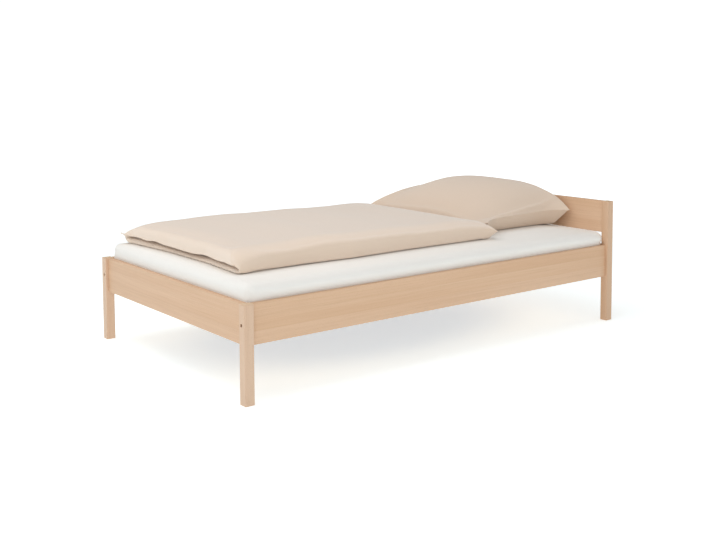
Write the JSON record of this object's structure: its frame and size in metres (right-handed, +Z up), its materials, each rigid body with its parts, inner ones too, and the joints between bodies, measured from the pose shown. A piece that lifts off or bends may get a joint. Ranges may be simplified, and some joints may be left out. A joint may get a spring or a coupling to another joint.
{
  "type": "single bed",
  "caption": "Beech bed with square legs, flat rails and a plain headboard panel, a slatted base, a mattress in a fitted sheet, a folded duvet and a pillow.",
  "frame": {"origin": "centre of the footprint, on the floor", "axes": "+X from the foot end to the head end, +Y to the left side seen from the foot end, +Z up"},
  "size_m": [2.072, 1.27, 0.6818],
  "materials": {
    "beech": "satin",
    "slat_wood": "matte",
    "dowel_wood": "matte",
    "bolt_steel": "satin",
    "zinc_steel": "satin",
    "webbing": "matte",
    "foam": "matte",
    "ticking": "matte",
    "sheet_cotton": "matte",
    "elastic": "matte",
    "duvet_cotton": "matte",
    "pillow_cotton": "matte",
    "filling": "matte"
  },
  "bodies": {
    "bed_frame": {"foot_leg_left": "beech", "foot_leg_right": "beech", "head_post_left": "beech", "head_post_right": "beech", "side_rail_left": "beech", "side_rail_right": "beech", "foot_rail": "beech", "head_rail": "beech", "headboard": "beech", "slat_ledge_left": "slat_wood", "slat_ledge_right": "slat_wood", "ledge_screws": "zinc_steel", "frame_bolts": "bolt_steel", "barrel_nuts": "zinc_steel", "side_rail_dowels": "dowel_wood", "end_rail_dowels": "dowel_wood", "headboard_dowels": "dowel_wood"},
    "slatted_base": {"slat_01": "slat_wood", "slat_02": "slat_wood", "slat_03": "slat_wood", "slat_04": "slat_wood", "slat_05": "slat_wood", "slat_06": "slat_wood", "slat_07": "slat_wood", "slat_08": "slat_wood", "slat_09": "slat_wood", "slat_10": "slat_wood", "slat_11": "slat_wood", "slat_12": "slat_wood", "slat_13": "slat_wood", "slat_14": "slat_wood", "slat_15": "slat_wood", "slat_16": "slat_wood", "slat_17": "slat_wood", "slat_tape_left": "webbing", "slat_tape_right": "webbing", "slat_staples": "zinc_steel"},
    "mattress": {"mattress_core": "foam", "mattress_cover": "ticking", "fitted_sheet": "sheet_cotton", "sheet_elastic": "elastic"},
    "duvet": {"duvet_filling": "filling", "duvet_cover": "duvet_cotton"},
    "pillow": {"pillow_filling": "filling", "pillowcase": "pillow_cotton"}
  },
  "joints": [
    {"name": "slatted_base_lift", "type": "slide", "parent": "bed_frame", "child": "slatted_base", "axis": [0, 0, 1], "range_m": [0, 0.35]},
    {"name": "mattress_lift", "type": "slide", "parent": "slatted_base", "child": "mattress", "axis": [0, 0, 1], "range_m": [0, 0.35]},
    {"name": "duvet_lift", "type": "slide", "parent": "mattress", "child": "duvet", "axis": [0, 0, 1], "range_m": [0, 0.25]},
    {"name": "pillow_lift", "type": "slide", "parent": "mattress", "child": "pillow", "axis": [0, 0, 1], "range_m": [0, 0.25]}
  ]
}
